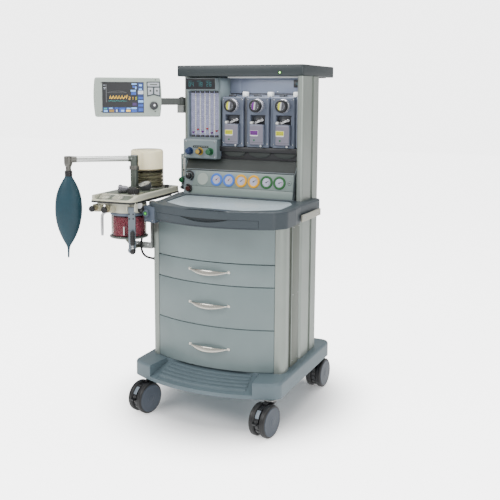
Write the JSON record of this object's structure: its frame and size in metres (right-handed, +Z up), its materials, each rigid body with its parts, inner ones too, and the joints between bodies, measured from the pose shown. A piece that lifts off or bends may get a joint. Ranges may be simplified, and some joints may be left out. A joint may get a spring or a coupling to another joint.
{
  "type": "anesthesia machine",
  "caption": "Mobile anesthesia machine: drawer cabinet on castors, worktop, gauge panel, flowmeters, vaporizers, monitor and a side absorber with bellows and breathing bag.",
  "frame": {"origin": "on the floor, under the middle of the cabinet", "axes": "+Z up, +X to the operator's right, +Y to the back"},
  "size_m": [1.0046, 0.7825, 1.39],
  "materials": {
    "slate": "satin moulded, fine grain",
    "shelf_grey": "satin powder coat",
    "panel_grey": "satin powder coat",
    "tray_steel": "satin",
    "bare_steel": "brushed",
    "extrusion": "satin anodised",
    "castor_dark": "satin",
    "castor_wheel": "matte tread, grey disc",
    "pedal_grey": "satin",
    "back_wall": "satin",
    "module_grey": "satin",
    "tube_clear": "clear",
    "knob_blue": "satin",
    "knob_yellow": "satin",
    "knob_green": "satin",
    "vaporizer_grey": "satin",
    "dial_black": "satin",
    "gauge_face": "gloss",
    "monitor_grey": "satin",
    "arm_grey": "satin",
    "absorber_ivory": "satin",
    "canister_clear": "clear over pink granules",
    "lever_steel": "satin",
    "dome_clear": "clear amber",
    "black_rubber": "matte",
    "post_metal": "satin",
    "bag_teal": "matte silicone",
    "gauge_metal": "satin"
  },
  "bodies": {
    "machine": {"base_platform": "slate", "cabinet_shell": "panel_grey", "upper_front_panel": "panel_grey", "drawer_slides": "bare_steel", "frame_columns": "extrusion", "worktop": "slate", "accessory_rail": "bare_steel", "outlet_block": "slate", "top_shelf": "shelf_grey", "back_panel": "back_wall", "flowmeter_housing": "module_grey", "flow_tubes": "tube_clear", "back_bar": "vaporizer_grey", "vaporizer_bodies": "vaporizer_grey", "gauge_panel": "module_grey", "pressure_gauges": "gauge_face", "aux_flowmeter": "module_grey", "absorber_plate": "absorber_ivory", "side_brackets": "bare_steel", "bellows_dome": "dome_clear", "bellows": "black_rubber", "bag_post": "post_metal", "manometer": "gauge_metal", "gas_hose": "black_rubber"},
    "castor_fl": {"castor_fork_fl": "castor_dark"},
    "wheels_fl": {"castor_wheels_fl": "castor_wheel"},
    "pedal_fl": {"brake_pedal_fl": "pedal_grey"},
    "castor_fr": {"castor_fork_fr": "castor_dark"},
    "wheels_fr": {"castor_wheels_fr": "castor_wheel"},
    "pedal_fr": {"brake_pedal_fr": "pedal_grey"},
    "castor_rl": {"castor_fork_rl": "castor_dark"},
    "wheels_rl": {"castor_wheels_rl": "castor_wheel"},
    "castor_rr": {"castor_fork_rr": "castor_dark"},
    "wheels_rr": {"castor_wheels_rr": "castor_wheel"},
    "drawer_1": {"drawer_front_1": "panel_grey", "drawer_tray_1": "tray_steel"},
    "drawer_2": {"drawer_front_2": "panel_grey", "drawer_tray_2": "tray_steel"},
    "drawer_3": {"drawer_front_3": "panel_grey", "drawer_tray_3": "tray_steel"},
    "writing_board": {"writing_slide": "slate"},
    "flow_control_1": {"flow_knob_1": "knob_blue"},
    "dial_1": {"vaporizer_dial_1": "dial_black"},
    "flow_control_2": {"flow_knob_2": "knob_yellow"},
    "dial_2": {"vaporizer_dial_2": "dial_black"},
    "flow_control_3": {"flow_knob_3": "knob_green"},
    "dial_3": {"vaporizer_dial_3": "dial_black"},
    "aux_control": {"aux_knob": "knob_green"},
    "flush": {"flush_button": "knob_green"},
    "switch": {"main_switch": "dial_black"},
    "monitor_support": {"monitor_arm": "arm_grey"},
    "monitor": {"monitor_head": "monitor_grey"},
    "monitor_control": {"monitor_knob": "dial_black"},
    "lever": {"canister_lever": "lever_steel"},
    "canister_body": {"canister": "canister_clear"},
    "relief": {"apl_knob": "dial_black"},
    "selector": {"mode_knob": "dial_black"},
    "bag_support": {"bag_arm": "bare_steel", "breathing_bag": "bag_teal"},
    "bellows_top": {"bellows_disc": "black_rubber"}
  },
  "joints": [
    {"name": "castor_swivel_fl", "type": "hinge", "parent": "machine", "child": "castor_fl", "pos_m": [-0.24, -0.247, 0.13], "axis": [0, 0, 1], "continuous": true},
    {"name": "wheel_spin_fl", "type": "hinge", "parent": "castor_fl", "child": "wheels_fl", "pos_m": [-0.24968, -0.28581, 0.0625], "axis": [0.9703, -0.2419, 0], "continuous": true},
    {"name": "brake_pedal_fl", "type": "hinge", "parent": "castor_fl", "child": "pedal_fl", "pos_m": [-0.24968, -0.28581, 0.0625], "axis": [0.9703, -0.2419, 0], "range_deg": [0, 12]},
    {"name": "castor_swivel_fr", "type": "hinge", "parent": "machine", "child": "castor_fr", "pos_m": [0.282, -0.247, 0.13], "axis": [0, 0, 1], "continuous": true},
    {"name": "wheel_spin_fr", "type": "hinge", "parent": "castor_fr", "child": "wheels_fr", "pos_m": [0.27574, -0.28651, 0.0625], "axis": [0.9877, -0.1564, 0], "continuous": true},
    {"name": "brake_pedal_fr", "type": "hinge", "parent": "castor_fr", "child": "pedal_fr", "pos_m": [0.27574, -0.28651, 0.0625], "axis": [0.9877, -0.1564, 0], "range_deg": [0, 12]},
    {"name": "castor_swivel_rl", "type": "hinge", "parent": "machine", "child": "castor_rl", "pos_m": [-0.24, 0.242, 0.13], "axis": [0, 0, 1], "continuous": true},
    {"name": "wheel_spin_rl", "type": "hinge", "parent": "castor_rl", "child": "wheels_rl", "pos_m": [-0.23651, 0.28185, 0.0625], "axis": [0.9962, -0.0872, 0], "continuous": true},
    {"name": "castor_swivel_rr", "type": "hinge", "parent": "machine", "child": "castor_rr", "pos_m": [0.284, 0.242, 0.13], "axis": [0, 0, 1], "continuous": true},
    {"name": "wheel_spin_rr", "type": "hinge", "parent": "castor_rr", "child": "wheels_rr", "pos_m": [0.28609, 0.28195, 0.0625], "axis": [0.9986, -0.0523, 0], "continuous": true},
    {"name": "drawer_slide_1", "type": "slide", "parent": "machine", "child": "drawer_1", "axis": [0, -1, 0], "range_m": [0, 0.28]},
    {"name": "drawer_slide_2", "type": "slide", "parent": "machine", "child": "drawer_2", "axis": [0, -1, 0], "range_m": [0, 0.28]},
    {"name": "drawer_slide_3", "type": "slide", "parent": "machine", "child": "drawer_3", "axis": [0, -1, 0], "range_m": [0, 0.28]},
    {"name": "writing_board_slide", "type": "slide", "parent": "machine", "child": "writing_board", "axis": [0, -1, 0], "range_m": [0, 0.2]},
    {"name": "flow_turn_1", "type": "hinge", "parent": "machine", "child": "flow_control_1", "pos_m": [-0.228, 0.032, 1.032], "axis": [0, 1, 0], "range_deg": [0, 720]},
    {"name": "dial_turn_1", "type": "hinge", "parent": "machine", "child": "dial_1", "pos_m": [-0.036, 0.033, 1.225], "axis": [0, 1, 0], "range_deg": [0, 270]},
    {"name": "flow_turn_2", "type": "hinge", "parent": "machine", "child": "flow_control_2", "pos_m": [-0.1795, 0.032, 1.032], "axis": [0, 1, 0], "range_deg": [0, 720]},
    {"name": "dial_turn_2", "type": "hinge", "parent": "machine", "child": "dial_2", "pos_m": [0.078, 0.033, 1.225], "axis": [0, 1, 0], "range_deg": [0, 270]},
    {"name": "flow_turn_3", "type": "hinge", "parent": "machine", "child": "flow_control_3", "pos_m": [-0.131, 0.032, 1.032], "axis": [0, 1, 0], "range_deg": [0, 720]},
    {"name": "dial_turn_3", "type": "hinge", "parent": "machine", "child": "dial_3", "pos_m": [0.192, 0.033, 1.225], "axis": [0, 1, 0], "range_deg": [0, 270]},
    {"name": "aux_turn", "type": "hinge", "parent": "machine", "child": "aux_control", "pos_m": [-0.277, 0.06, 0.905], "axis": [0, 1, 0], "range_deg": [0, 720]},
    {"name": "flush_press", "type": "slide", "parent": "machine", "child": "flush", "axis": [0, 1, 0], "range_m": [0, 0.005], "stiffness_N_per_m": 200, "springref_m": -0.002},
    {"name": "switch_turn", "type": "hinge", "parent": "machine", "child": "switch", "pos_m": [-0.232, 0.05674, 0.925], "axis": [0, -0.9859, 0.1674], "range_deg": [0, 90]},
    {"name": "monitor_swing", "type": "hinge", "parent": "machine", "child": "monitor_support", "pos_m": [-0.307, 0.13, 1.239], "axis": [0, 0, 1], "range_deg": [-60, 40]},
    {"name": "monitor_tilt", "type": "hinge", "parent": "monitor_support", "child": "monitor", "pos_m": [-0.46219, -0.07126, 1.257], "axis": [0.7431, 0.6691, 0], "range_deg": [-12, 12]},
    {"name": "monitor_knob_turn", "type": "hinge", "parent": "monitor", "child": "monitor_control", "pos_m": [-0.33471, -0.05741, 1.223], "axis": [0.6691, -0.7431, 0], "continuous": true},
    {"name": "lever_swing", "type": "hinge", "parent": "machine", "child": "lever", "pos_m": [-0.291, -0.3, 0.826], "axis": [-1, 0, 0], "range_deg": [0, 75]},
    {"name": "canister_drop", "type": "slide", "parent": "machine", "child": "canister_body", "axis": [0, 0, -1], "range_m": [0, 0.01]},
    {"name": "relief_turn", "type": "hinge", "parent": "machine", "child": "relief", "pos_m": [-0.311, -0.254, 0.89], "axis": [0, 0, 1], "range_deg": [0, 300]},
    {"name": "selector_turn", "type": "hinge", "parent": "machine", "child": "selector", "pos_m": [-0.307, -0.006, 0.884], "axis": [0, 0, 1], "range_deg": [0, 90]},
    {"name": "bag_swing", "type": "hinge", "parent": "machine", "child": "bag_support", "pos_m": [-0.4, -0.11, 1], "axis": [0, 0, 1], "range_deg": [-66, 20]},
    {"name": "bellows_travel", "type": "slide", "parent": "machine", "child": "bellows_top", "axis": [0, 0, 1], "range_m": [-0.045, 0.06], "deforming": ["bellows"]}
  ],
  "couplings": [
    {"joint": "canister_drop", "follows": "lever_swing", "m_per_rad": 0.0076}
  ]
}
